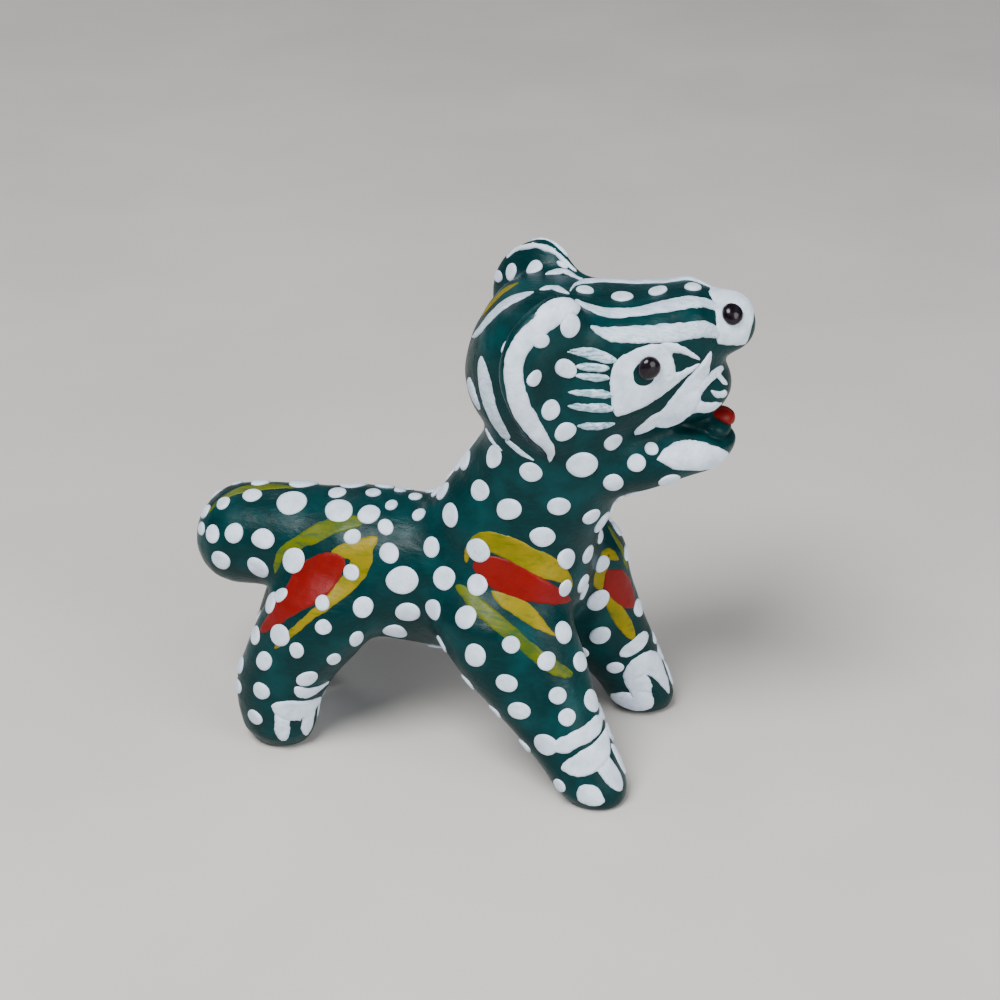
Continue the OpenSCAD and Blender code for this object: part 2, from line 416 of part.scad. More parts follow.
// ---- petals on the shoulders and haunches; the left shoulder's are drawn nearer the chest ----
module shoulder_red(m) color(red) {
    if (m > 0) flank_stroke(body_depth, [[0.6, 18.7, 1], [1.8, 18.7, 2.3], [3.4, 18.2, 2.7],
        [5.1, 17.7, 2.3], [6.8, 16.8, 1.5], [8.1, 15.4, 0.3]]);
    else side(m) limb_stroke(LEFT_LEG, [[0.18, 129, 1.0], [0.22, 122, 2.2], [0.27, 114, 2.5],
        [0.32, 107, 1.8], [0.36, 103, 0.6]]);
}
module shoulder_yellow(m) color(yellow) {
    if (m > 0) {
        flank_stroke(body_depth, [[0.2, 18.6, 0.3], [0.2, 19.8, 0.6], [1.4, 21, 1.5], [3.1, 20.8, 2.0],
            [5, 19.9, 2.0], [6.7, 18.9, 1.5], [7.7, 17.9, 0.8], [8.2, 16.5, 0.3]]);
        flank_stroke(body_depth, [[2.2, 17, 0.5], [4, 16.4, 0.9], [5.6, 15.6, 0.8], [7.7, 14, 0.2]]);
    } else side(m) {
        limb_stroke(LEFT_LEG, [[0.25, 138, 0.9], [0.2, 138, 1.3], [0.16, 131, 1.5], [0.14, 121, 1.2],
            [0.17, 109, 0.5]]);
        limb_stroke(LEFT_LEG, [[0.26, 135, 0.8], [0.33, 131, 1.3], [0.4, 128, 1.4], [0.475, 126, 1.1]]);
    }
}
module haunch_red(m) color(red) side(m) hind_shift(m) flank_stroke(body_depth, [[-9.7, 18, 0.9],
    [-11.1, 16.9, 2.7], [-12.8, 15.4, 2.5], [-14.2, 13.9, 1.8], [-15.5, 12.3, 1.1], [-16.7, 10.7, 0.4]]);
module haunch_yellow(m) color(yellow) side(m) hind_shift(m) {
    flank_stroke(body_depth, [[-11, 18.2, 0.4], [-9.6, 18.4, 1.2], [-8.4, 18.7, 1.4], [-7.2, 19.4, 0.3]]);
    flank_stroke(body_depth, [[-7.8, 19, 0.6], [-8.3, 17.6, 1.6], [-9.3, 16.1, 1.4], [-10.5, 15, 1.0],
        [-11.8, 13.8, 0.7], [-13.7, 11.8, 0.6], [-15.2, 10.1, 0.3]]);
}
module olive_strokes(m) color(olive) side(m) {
    flank_stroke(body_depth, [[-15.8, 15.2, 0.4], [-15.3, 17, 0.8], [-14.2, 17.9, 1.0],
        [-12.9, 18.8, 1.1], [-11.2, 19.8, 1.1], [-9.6, 20.1, 0.8], [-8.6, 20.2, 0.3]]);
    flank_stroke(body_depth, [[-0.7, 17, 0.6], [1.6, 16.1, 0.9], [3.9, 14.9, 1.1], [5.6, 13.6, 1.0],
        [7.5, 11.9, 1.0], [9.1, 10.8, 0.5]]);
    if (m > 0) limb_stroke(TAIL, [[0.17, 50, 0.5], [0.26, 68, 0.6], [0.36, 80, 0.9], [0.47, 90, 1.3],
        [0.58, 95, 1.2], [0.72, 93, 0.5]]);
    else limb_stroke(LEFT_LEG, [[0.08, 92, 0.4], [0.12, 98, 0.7], [0.17, 98, 0.6], [0.22, 96, 0.4]]);
}

// ---- claws and the bands above them ----
FRONT_CLAWS = [[[0.61, -3, 1.0], [0.59, 15, 1.4], [0.57, 32, 1.4], [0.555, 55, 1.4], [0.54, 78, 1.3],
    [0.535, 93, 0.8]], [[0.69, -8, 1.0], [0.68, 15, 1.9], [0.66, 40, 2.0], [0.64, 62, 1.9], [0.61, 79, 1.4],
    [0.59, 92, 0.7]], [[0.79, 0, 1.5], [0.82, 12, 1.9], [0.87, 30, 1.3]],
    [[0.67, 54, 1.5], [0.73, 60, 1.8], [0.785, 66, 1.7], [0.85, 70, 1.2]]];
FRONT_EDGE = [[0.645, 88, 0.5], [0.7, 97, 1.1], [0.77, 106, 1.2], [0.83, 112, 0.8]];
INNER_CLAWS = [[[0.535, 156, 0.9], [0.515, 139, 1.3], [0.49, 118, 1.4], [0.475, 97, 1.1]],
    [[0.68, 170, 1.5], [0.61, 144, 2.0], [0.6, 122, 2.2], [0.65, 110, 1.9], [0.73, 107, 1.4],
    [0.83, 108, 1.0]], [[0.84, 222, 1.1], [0.83, 196, 2.1], [0.83, 168, 2.5], [0.87, 148, 1.6]],
    [[0.63, 157, 1.9], [0.72, 156, 2.0], [0.8, 155, 1.8]]];
HIND_CLAWS = [[[0.595, 0, 0.9], [0.615, 13, 1.7], [0.64, 31, 2.1], [0.66, 49, 2.2], [0.655, 66, 1.8],
    [0.63, 84, 1.0]], [[0.64, 17, 1.3], [0.72, 20, 1.25], [0.8, 21, 1.3], [0.88, 22, 1.2]],
    [[0.66, 60, 1.5], [0.74, 63, 1.5], [0.81, 63, 1.4], [0.88, 61, 1.0]],
    [[0.47, 20, 0.6], [0.505, 29, 1.2], [0.53, 43, 1.2], [0.515, 57, 0.8], [0.495, 71, 0.4]]];
function across_front(list) = [for (q = list) [for (p = q) [p[0], 180 - p[1], p[2]]]];
module claws(limb, list) for (q = list) limb_stroke(limb, q, 2);
module claws_front(m) color(white) side(m)
    claws(m > 0 ? FRONT_LEG : LEFT_LEG, concat(FRONT_CLAWS,
        m > 0 ? concat(across_front([for (i = [0:2]) FRONT_CLAWS[i]]), [FRONT_EDGE]) : INNER_CLAWS));
module claws_hind(m) color(white) side(m) hind_shift(m) claws(HIND_LEG, concat(HIND_CLAWS,
    across_front(HIND_CLAWS)));

placed() torso();
placed() neck();
placed() head();
placed() muzzle();
placed() nose();
placed() jaw();
placed() tongue();
placed() ear(1);  // ear_right
placed() ear(-1);  // ear_left
placed() tail();
placed() leg_front(1);  // leg_front_right
placed() leg_front(-1);  // leg_front_left
placed() leg_hind(1);  // leg_hind_right
placed() leg_hind(-1);  // leg_hind_left
placed() dots_torso();
placed() dots_neck();
placed() dots_tail();
placed() dots_jaw();
placed() dots_brow();
placed() dots_face(1);  // dots_face_right
placed() dots_face(-1);  // dots_face_left
placed() dots_leg_front(1);  // dots_leg_front_right
placed() dots_leg_front(-1);  // dots_leg_front_left
placed() dots_leg_hind(1);  // dots_leg_hind_right
placed() dots_leg_hind(-1);  // dots_leg_hind_left
placed() eye_patch(1);  // eye_patch_right
placed() eye_patch(-1);  // eye_patch_left
placed() iris(1);  // iris_right
placed() iris(-1);  // iris_left
placed() pupil(1);  // pupil_right
placed() pupil(-1);  // pupil_left
placed() nose_patch();
placed() nostril(1);  // nostril_right
placed() nostril(-1);  // nostril_left
placed() brow_strokes(1);  // brow_strokes_right
placed() brow_strokes(-1);  // brow_strokes_left
placed() lashes(1);  // lashes_right
placed() lashes(-1);  // lashes_left
placed() ear_rim(1);  // ear_rim_right
placed() ear_rim(-1);  // ear_rim_left
placed() ear_back(1);  // ear_back_right
placed() ear_back(-1);  // ear_back_left
placed() cheek_strokes(1);  // cheek_strokes_right
placed() cheek_strokes(-1);  // cheek_strokes_left
placed() chin_patch();
placed() crown_yellow();
placed() shoulder_red(1);  // shoulder_red_right
placed() shoulder_red(-1);  // shoulder_red_left
placed() shoulder_yellow(1);  // shoulder_yellow_right
placed() shoulder_yellow(-1);  // shoulder_yellow_left
placed() haunch_red(1);  // haunch_red_right
placed() haunch_red(-1);  // haunch_red_left
placed() haunch_yellow(1);  // haunch_yellow_right
placed() haunch_yellow(-1);  // haunch_yellow_left
placed() olive_strokes(1);  // olive_right
placed() olive_strokes(-1);  // olive_left
placed() claws_front(1);  // claws_front_right
placed() claws_front(-1);  // claws_front_left
placed() claws_hind(1);  // claws_hind_right
placed() claws_hind(-1);  // claws_hind_left
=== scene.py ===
"""A miniature painted clay animal.

One skin of hand-smoothed clay is grown over the CAD lumps and cut back into one closed piece for each
lump. Each paint mark is a raised piece that follows that skin.
"""

import json
import math

import bmesh
import bpy
import numpy as np
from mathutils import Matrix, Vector, noise
from mathutils.bvhtree import BVHTree


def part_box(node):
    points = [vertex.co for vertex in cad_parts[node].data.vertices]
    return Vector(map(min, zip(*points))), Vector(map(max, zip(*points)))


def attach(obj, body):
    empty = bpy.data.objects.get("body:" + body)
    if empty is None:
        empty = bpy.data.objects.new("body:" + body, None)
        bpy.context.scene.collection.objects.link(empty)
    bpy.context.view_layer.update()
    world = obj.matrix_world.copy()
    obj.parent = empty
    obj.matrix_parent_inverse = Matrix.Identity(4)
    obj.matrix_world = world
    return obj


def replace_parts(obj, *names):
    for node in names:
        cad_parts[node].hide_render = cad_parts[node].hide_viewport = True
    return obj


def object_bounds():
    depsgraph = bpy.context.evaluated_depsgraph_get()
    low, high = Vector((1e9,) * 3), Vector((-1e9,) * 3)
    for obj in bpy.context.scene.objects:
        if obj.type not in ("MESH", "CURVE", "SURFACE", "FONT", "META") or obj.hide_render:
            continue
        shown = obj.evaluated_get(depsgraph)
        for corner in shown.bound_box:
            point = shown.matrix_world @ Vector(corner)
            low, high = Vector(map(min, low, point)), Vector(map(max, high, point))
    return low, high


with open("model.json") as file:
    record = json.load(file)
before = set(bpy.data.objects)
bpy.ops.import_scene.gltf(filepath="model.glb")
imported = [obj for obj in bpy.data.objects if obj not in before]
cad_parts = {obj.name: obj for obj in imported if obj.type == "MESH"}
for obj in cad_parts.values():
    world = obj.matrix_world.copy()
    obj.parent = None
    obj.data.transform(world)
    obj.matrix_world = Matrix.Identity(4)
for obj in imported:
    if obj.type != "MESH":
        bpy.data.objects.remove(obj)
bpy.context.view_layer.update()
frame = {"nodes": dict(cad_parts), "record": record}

MM = 0.001  # shapes and patterns are in millimetres; objects, floor, lights and camera in metres
SEED = 7

nodes = frame["nodes"]
LUMPS = ["torso", "neck", "head", "muzzle", "nose", "jaw", "ear_right", "ear_left", "tail"]
LUMPS += [f"leg_{end}_{side}" for end in ("front", "hind") for side in ("right", "left")]


def centre(node):
    low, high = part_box(node)
    return (np.array(low) + np.array(high)) / 2 / MM


# ---- the head's own axes, from the two pupils ----
right_eye, left_eye = centre("pupil_right"), centre("pupil_left")
EYES = (right_eye + left_eye) / 2
SIDE = (right_eye - left_eye) / np.linalg.norm(right_eye - left_eye)
AHEAD = np.array([-SIDE[1], SIDE[0], 0.0])


def in_head(points):
    """Points as (ahead of the pupils, to the head's right, above the pupils)."""
    p = points - EYES
    return np.stack([p @ AHEAD, p @ SIDE, p[:, 2]], axis=1)


def smoothstep(low, high, x):
    t = np.clip((x - low) / (high - low), 0, 1)
    return t * t * (3 - 2 * t)


# ---- meshes as arrays, in millimetres ----
def cad_mesh(name):
    """A CAD node's welded mesh."""
    bm = bmesh.new()
    bm.from_mesh(nodes[name].data)
    bmesh.ops.remove_doubles(bm, verts=bm.verts, dist=0.002 * MM)
    bmesh.ops.scale(bm, vec=(1 / MM,) * 3, verts=bm.verts)
    bm.normal_update()
    return bm


def arrays(bm):
    bm.verts.index_update()
    return np.array([v.co for v in bm.verts]), [[v.index for v in f.verts] for f in bm.faces]


def tree_of(points, faces):
    return BVHTree.FromPolygons([tuple(p) for p in points], faces)


def relax(points, edges, weight, rounds):
    """Pulls each point towards the mean of its neighbours."""
    n = len(points)
    degree = np.bincount(edges.ravel(), minlength=n)[:, None]
    for _ in range(rounds):
        total = np.stack(
            [
                np.bincount(edges[:, 0], points[edges[:, 1], k], n)
                + np.bincount(edges[:, 1], points[edges[:, 0], k], n)
                for k in range(3)
            ],
            axis=1,
        )
        points = points + weight * (total / np.maximum(degree, 1) - points)
    return points


def normals_of(points, faces):
    """Unit normals at the points of a mesh of quads and triangles."""
    mesh = bpy.data.meshes.new("scratch")
    mesh.from_pydata([tuple(p) for p in points], [], faces)
    found = np.empty(len(points) * 3, np.float32)
    mesh.vertex_normals.foreach_get("vector", found)
    bpy.data.meshes.remove(mesh)
    return found.reshape(-1, 3).astype(float)


def field(points, size, seed):
    """Smooth noise in -1..1 at the points, with features of that size."""
    shift = Vector((seed * 3.1, seed * 1.7, seed * 2.3))
    return np.array([noise.noise(Vector(p) / size + shift) for p in points])


def swells(points, sizes, seed):
    """Smooth noise at the points, summed over (height, width) pairs."""
    return sum(high * field(points, wide, seed + i) for i, (high, wide) in enumerate(sizes))


# ---- clay ----
VOXEL = 0.17  # size of the skin's faces
SWELL = 0.06  # lumps are grown by this much so that they overlap
NEAR_LUMP = 2.5  # how far from a lump's box a point still counts as near it
FAR = 9.0  # the distance noted for a lump that is not near
FIRST_ROUNDS, JOIN_ROUNDS, LAST_ROUNDS = 8, 130, 12  # of smoothing
JOIN_REACH = 2.4, 0.4  # distances from the second nearest lump where join smoothing starts and is full
HAND_SWELLS = (0.16, 5.5), (0.05, 1.7)  # height and width of the unevenness left by fingers

# The mouth, ahead of and above the pupils
MOUTH_LINE = [1.5, 3.8, 4.6, 5.6, 6.6], [-6.0, -6.2, -6.35, -6.9, -7.4]  # its height at points along it
MOUTH_DEPTH, MOUTH_WIDTH = 0.6, 0.28
MOUTH_CORNER = 1.6, 3.2  # the groove fades in between these
MOUTH_SPARED = 0.85  # the share of the join smoothing that is left out at the mouth
SPARED_CORNER = 1.5, 3.5
SPARED_HEIGHT, SPARED_HALF_HEIGHT = -5.8, 2


def grown_lumps():
    """All the CAD lumps in one mesh, each a little swollen."""
    joined = bpy.data.meshes.new("lumps")  # holds one lump at a time until the last line
    bm = bmesh.new()
    for name in LUMPS:
        part = cad_mesh(name)
        for v in part.verts:
            v.co += v.normal * SWELL
        part.to_mesh(joined)
        part.free()
        bm.from_mesh(joined)
    bm.to_mesh(joined)
    bm.free()
    return joined


def remeshed(mesh):
    """The points, edges and faces of the one closed skin round a mesh."""
    scratch = bpy.data.objects.new("scratch", mesh)
    bpy.context.scene.collection.objects.link(scratch)
    remesh = scratch.modifiers.new("remesh", "REMESH")
    remesh.mode = "VOXEL"
    remesh.voxel_size = VOXEL
    graph = bpy.context.evaluated_depsgraph_get()
    done = bpy.data.meshes.new_from_object(scratch.evaluated_get(graph))
    bpy.data.objects.remove(scratch)
    points = np.empty(len(done.vertices) * 3, np.float32)
    done.vertices.foreach_get("co", points)
    edges = np.empty(len(done.edges) * 2, np.int32)
    done.edges.foreach_get("vertices", edges)
    faces = [tuple(p.vertices) for p in done.polygons]
    bpy.data.meshes.remove(done)
    return points.reshape(-1, 3).astype(float), edges.reshape(-1, 2), faces


def lump_distances(points):
    """Each point's distance from each lump, or FAR where it is not near."""
    away = np.full((len(points), len(LUMPS)), FAR)
    for k, name in enumerate(LUMPS):
        part = cad_mesh(name)
        tree = BVHTree.FromBMesh(part)
        low, high = np.array(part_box(name)) / MM
        near = ((points > low - NEAR_LUMP) & (points < high + NEAR_LUMP)).all(axis=1)
        for i in np.where(near)[0]:
            away[i, k] = tree.find_nearest(points[i])[3]
        part.free()
    return away


def mouth_groove(points, normals):
    """The crease between the lips, which runs from each corner of the mouth round the front."""
    h = in_head(points)
    x, z = h[:, 0], h[:, 2]
    line = np.interp(x, *MOUTH_LINE)
    depth = MOUTH_DEPTH * np.exp(-(((z - line) / MOUTH_WIDTH) ** 2)) * smoothstep(*MOUTH_CORNER, x)
    return points - normals * depth[:, None]


def grown_skin():
    """The skin's points and faces, and each point's distances from the lumps.

    The joins between lumps are smoothed most, but not the mouth, which has to stay open.
    """
    points, edges, faces = remeshed(grown_lumps())
    away = lump_distances(points)
    second = np.sort(away, axis=1)[:, 1]
    h = in_head(points)
    mouth = smoothstep(*SPARED_CORNER, h[:, 0]) * (np.abs(h[:, 2] - SPARED_HEIGHT) < SPARED_HALF_HEIGHT)
    blend = smoothstep(*JOIN_REACH, second) * (1 - MOUTH_SPARED * mouth)
    points = relax(points, edges, 0.5, FIRST_ROUNDS)
    points = relax(points, edges, 0.5 * blend[:, None], JOIN_ROUNDS)
    points = relax(points, edges, 0.5, LAST_ROUNDS)
    uneven = swells(points, HAND_SWELLS, SEED)
    points = points + normals_of(points, faces) * uneven[:, None]
    points = mouth_groove(points, normals_of(points, faces))
    points = relax(points, edges, 0.4, 2)
    points[:, 2] = np.maximum(points[:, 2], 0)
    return points, faces, away


# ---- making objects ----
def make(name, points, faces, material, slot, loop_normals=None):
    """An object of the root body, from points in millimetres."""
    mesh = bpy.data.meshes.new(name)
    mesh.from_pydata([tuple(p * MM) for p in points], [], faces)
    mesh.polygons.foreach_set("use_smooth", [True] * len(mesh.polygons))
    if loop_normals is not None:
        mesh.normals_split_custom_set([tuple(n) for n in loop_normals])
    mesh.materials.append(material)
    obj = bpy.data.objects.new(name, mesh)
    bpy.context.scene.collection.objects.link(obj)
    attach(obj, "root")
    return obj


def border_loops(faces):
    """The closed loops of edges that only one face uses, as lists of points in the faces' order."""
    used = dict.fromkeys((a, b) for f in faces for a, b in zip(f, f[1:] + f[:1]))
    after = {}
    for a, b in used:
        if (b, a) not in used:
            after.setdefault(a, []).append(b)
    loops = []
    while after:
        start = next(iter(after))
        loop, here = [start], after[start].pop()
        if not after[start]:
            del after[start]
        while here != start and here in after:
            loop.append(here)
            step = after[here].pop()
            if not after[here]:
                del after[here]
            here = step
        if len(loop) > 2:
            loops.append(loop)
    return loops


def clay_pieces(points, faces, away, material):
    """The skin cut into one closed piece for each lump.

    The pieces share their borders and the skin's own normals, so that no seam shows.
    """
    skin_normals = normals_of(points, faces)
    owner = np.array([np.argmin(away[list(f)].sum(axis=0)) for f in faces])
    for k, name in enumerate(LUMPS):
        mine = [faces[i] for i in np.where(owner == k)[0]]
        index = {v: i for i, v in enumerate(sorted({v for f in mine for v in f}))}
        mine = [tuple(index[v] for v in f) for f in mine]
        own = points[list(index)]
        normals = skin_normals[list(index)]
        loop_normals = [normals[v] for f in mine for v in f]
        extra, caps = [], []
        for loop in border_loops(mine):
            middle = len(own) + len(extra)
            extra.append(own[loop].mean(axis=0))
            caps += [(b, a, middle) for a, b in zip(loop, loop[1:] + loop[:1])]
        for cap in caps:
            corner = [own[cap[0]], own[cap[1]], extra[cap[2] - len(own)]]
            n = np.cross(corner[1] - corner[0], corner[2] - corner[0])
            loop_normals += [n / max(np.linalg.norm(n), 1e-9)] * 3
        whole = np.concatenate([own, extra]) if extra else own
        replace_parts(make(f"clay_{name}", whole, mine + caps, material, "green_clay", loop_normals), name)


# ---- paint ----
DOT_HEIGHT, STROKE_HEIGHT, PETAL_HEIGHT = 0.19, 0.15, 0.07
DRAWN_IN = 0.93  # how much of a CAD dot's width the dried dot keeps
TOP_SHARE = 0.8  # how wide a CAD dot's flat top is, as a share of the dot
# A dot's rings from its middle outward, as shares of its radius and of its height
RINGS = [(0, 1), (0.35, 1), (0.62, 0.98), (0.8, 0.9), (0.91, 0.72), (0.98, 0.42), (1.01, 0.1), (0.99, -0.35)]
DOT_SIDES = 26
# What differs from dot to dot: how oval it is, the waves of its outline, its dimple and its height
STRETCHES, MOST_WAVE, DIMPLES, HEIGHTS = (1.0, 1.12), 0.05, (-0.12, 0.1), (0.85, 1.15)
ONE_PLANE = 0.9995  # two CAD faces are in one plane when the cosine between them is higher
# A plane is a dot's top if it exceeds these: corners, share of its circle filled, cosine to the skin
TOP_CORNERS, TOP_FILL, TOP_FACING = 8, 0.7, 0.4

PAINT_EDGE = 0.13  # size of the triangles of a stroke
UNDERSIDE, STEEP = -0.3, 0.35  # a CAD face is one of these when its cosine to the skin is lower
STEP_LEFT_IN = 0.17  # a steep face lower than this is a step between crossing strokes, not a side
MOST_CUTS = 7  # how often a stroke's edges are halved at most
FEWEST_FACES = 8  # a stroke with fewer faces outward is left out
# Rounds of smoothing for the outlines of strokes up to that half width
OUTLINE_ROUNDS = {0.45: 2, 1: 6, math.inf: 12}
OUTLINE_SWELLS = (0.1, 0.9), (0.07, 0.35)  # height and width of the wobble of an outline
RIDGE_SHARE, RIDGE_WIDTH = 0.2, 0.6
ROUNDED = 0.32  # how far in from its rim a stroke reaches its height
RIM_SUNK, UNDERSIDE_SUNK = 0.01, 0.06  # into the clay

BEAD_SIDES, BEAD_RINGS = 28, 9
BEAD_LIFT, BEAD_HALF_HEIGHT = 0.3, 0.62  # how high its middle is and it reaches, as shares of its radius

RAY_START, RAY_LENGTH = 1.2, 2.6  # a ray for the skin starts this far off it
STRAY, HIT_FACING = 0.7, 0.2  # a hit counts if it is nearer to its point and has a higher cosine to out


def islands(name):
    """A CAD node's separate solids, each as (points, faces)."""
    bm = cad_mesh(name)
    bm.verts.ensure_lookup_table()
    solid, count = {}, 0
    for v in bm.verts:
        if v in solid:
            continue
        todo = [v]
        solid[v] = count
        while todo:
            here = todo.pop()
            for e in here.link_edges:
                other = e.other_vert(here)
                if other not in solid:
                    solid[other] = count
                    todo.append(other)
        count += 1
    found = [[] for _ in range(count)]
    for f in bm.faces:
        found[solid[f.verts[0]]].append(f)
    for own in filter(None, found):
        verts = sorted({v.index for f in own for v in f.verts})
        index = {v: i for i, v in enumerate(verts)}
        points = np.array([bm.verts[v].co for v in verts])
        yield points, [[index[v.index] for v in f.verts] for f in own]
    bm.free()


def on_skin(tree, p, out=None):
    """The skin's point under p and its normal there.

    It is looked for along out, if that is given and leads to skin near p that faces out.
    """
    if out is not None:
        at, normal = tree.ray_cast(Vector(p + RAY_START * out), Vector(-out), RAY_LENGTH)[:2]
        if at is not None and normal.dot(Vector(out)) > HIT_FACING and (at - Vector(p)).length < STRAY:
            return np.array(at), np.array(normal)
    at, normal = tree.find_nearest(Vector(p))[:2]
    return np.array(at), np.array(normal)


def frame_at(out):
    """Two unit vectors square to the unit vector out and to each other."""
    a = np.cross(out, [0.3, 0.9, 0.2])
    a /= np.linalg.norm(a)
    return a, np.cross(out, a)


def dot(tree, at, out, radius, rng):
    """A blob of thick paint set down with the end of a stick: a soft-edged, slightly uneven oval."""
    u, v = frame_at(out)
    turn, stretch = rng.uniform(0, math.pi), rng.uniform(*STRETCHES)
    wave = [(k, rng.uniform(0, MOST_WAVE / (k - 1)), rng.uniform(0, 2 * math.pi)) for k in (2, 3, 4)]
    dimple, tall = rng.uniform(*DIMPLES), rng.uniform(*HEIGHTS)
    points = []
    for share, high in RINGS:
        for j in range(DOT_SIDES if share else 1):
            angle = 2 * math.pi * j / DOT_SIDES
            uneven = 1 + sum(size * math.cos(k * angle + phase) for k, size, phase in wave)
            r = DRAWN_IN * radius * share * uneven
            x, y = r * math.cos(angle) * stretch, r * math.sin(angle) / stretch
            along = x * math.cos(turn) - y * math.sin(turn)
            across = x * math.sin(turn) + y * math.cos(turn)
            p = at + u * along + v * across
            base, normal = on_skin(tree, p, out)
            points.append(base + normal * DOT_HEIGHT * tall * high * (1 + dimple * (1 - share)))
    pairs = [(j, (j + 1) % DOT_SIDES) for j in range(DOT_SIDES)]  # neighbours round a ring
    faces = [(0, 1 + j, 1 + k) for j, k in pairs]
    for start in range(1, 1 + (len(RINGS) - 2) * DOT_SIDES, DOT_SIDES):
        below = start + DOT_SIDES
        faces += [(start + j, below + j, below + k, start + k) for j, k in pairs]
    last = 1 + (len(RINGS) - 2) * DOT_SIDES
    points.append(np.mean(points[last:], axis=0))
    faces += [(last + k, last + j, len(points) - 1) for j, k in pairs]
    return np.array(points), faces


def mesh_of(points, faces):
    bm = bmesh.new()
    verts = [bm.verts.new(p) for p in points]
    for f in faces:
        bm.faces.new([verts[i] for i in f])
    bm.normal_update()
    return bm


def discs_of(points, faces, tree):
    """The CAD dots of a solid as (middle on the skin, skin normal, radius).

    A dot is known by its top: flat, with many corners, filling most of its circle and facing as the
    skin does.
    """
    bm = mesh_of(points, faces)
    left, found = dict.fromkeys(bm.faces), []  # a dict and not a set, for the same order in each run
    while left:
        todo = [left.popitem()[0]]
        flat = list(todo)
        while todo:
            here = todo.pop()
            for other in [o for e in here.edges for o in e.link_faces]:
                if other in left and other.normal.dot(flat[0].normal) > ONE_PLANE:
                    del left[other]
                    todo.append(other)
                    flat.append(other)
        area = sum(f.calc_area() for f in flat)
        corners = np.array([v.co for v in dict.fromkeys(v for f in flat for v in f.verts)])
        middle, out = corners.mean(axis=0), np.array(flat[0].normal)
        radius = np.linalg.norm(corners - middle, axis=1).max()
        base, normal = on_skin(tree, middle)
        full = area > TOP_FILL * math.pi * radius**2
        if len(corners) > TOP_CORNERS and full and out @ normal > TOP_FACING:
            found.append((base, normal, radius / TOP_SHARE))
    bm.free()
    return found


def top_sheet(points, faces, tree):
    """The outward faces of a stroke's CAD solid, cut fine."""
    bm = mesh_of(points, faces)
    hidden = []
    for f in bm.faces:
        out = tree.find_nearest(f.calc_center_median())[1]
        heights = [v.co.dot(out) for v in f.verts]
        facing = f.normal.dot(out)
        if facing < UNDERSIDE or (facing < STEEP and max(heights) - min(heights) > STEP_LEFT_IN):
            hidden.append(f)
    bmesh.ops.delete(bm, geom=hidden, context="FACES")
    bmesh.ops.delete(bm, geom=[v for v in bm.verts if not v.link_faces], context="VERTS")
    for _ in range(MOST_CUTS):
        long = [e for e in bm.edges if e.calc_length() > 1.5 * PAINT_EDGE]
        if not long:
            break
        bmesh.ops.subdivide_edges(bm, edges=long, cuts=1)
        bmesh.ops.triangulate(bm, faces=[f for f in bm.faces if len(f.verts) > 3])
        shared = [e for e in bm.edges if len(e.link_faces) == 2]
        bmesh.ops.beautify_fill(bm, faces=bm.faces, edges=shared)
    return bm


def rim_distance(points, rim):
    """Each point's distance from the nearest rim point."""
    border = points[rim]
    return np.array([np.sqrt(((border - q) ** 2).sum(axis=1).min()) for q in points])


def loosened(tree, p, edges, rim_edges, rim, seed):
    """A stroke's points laid on the skin, with the outline rounded and made uneven."""
    half_width = rim_distance(p, rim).max()
    rounds = next(count for width, count in OUTLINE_ROUNDS.items() if half_width < width)
    for _ in range(2):
        smooth = relax(p, rim_edges, 0.5, rounds)
        p = np.where(rim[:, None], smooth, relax(p, edges, 0.5, 3))
        p = np.array([tree.find_nearest(Vector(q))[0] for q in p])
    wobble = swells(p, OUTLINE_SWELLS, seed)
    out = p - relax(p, edges, 1.0, 1)
    out /= np.maximum(np.linalg.norm(out, axis=1, keepdims=True), 1e-6)
    return np.where(rim[:, None], p + out * wobble[:, None], p)


def stroke(tree, points, faces, height, seed):
    """A brush stroke as (points, faces), or None where hardly any of the CAD stroke faces outward.

    It is raised off the skin with a rounded edge and faint ridges.
    """
    bm = top_sheet(points, faces, tree)
    if len(bm.faces) < FEWEST_FACES:
        bm.free()
        return None
    p, tris = arrays(bm)
    edges = np.array([[v.index for v in e.verts] for e in bm.edges])
    rim_edges = np.array([[v.index for v in e.verts] for e in bm.edges if len(e.link_faces) == 1])
    bm.free()
    rim = np.zeros(len(p), bool)
    rim[rim_edges.ravel()] = True
    found = [tree.find_nearest(Vector(q)) for q in loosened(tree, p, edges, rim_edges, rim, seed)]
    p, n = np.array([f[0] for f in found]), np.array([f[1] for f in found])
    n = relax(n, edges, 0.5, 3)
    n /= np.linalg.norm(n, axis=1, keepdims=True)
    away = rim_distance(p, rim)
    edge = min(ROUNDED, 0.8 * away.max())
    rise = np.sqrt(np.clip(1 - (1 - np.minimum(away / edge, 1)) ** 2, 0, 1))
    ridges = 1 + RIDGE_SHARE * field(p, RIDGE_WIDTH, seed + 2)
    top = p + n * (height * rise * ridges - RIM_SUNK * rim)[:, None]
    low = p - UNDERSIDE_SUNK * n
    count = len(p)
    faces = [tuple(t) for t in tris] + [tuple(count + i for i in reversed(t)) for t in tris]
    for loop in border_loops([tuple(t) for t in tris]):
        faces += [(b, a, count + a, count + b) for a, b in zip(loop, loop[1:] + loop[:1])]
    return np.concatenate([top, low]), faces


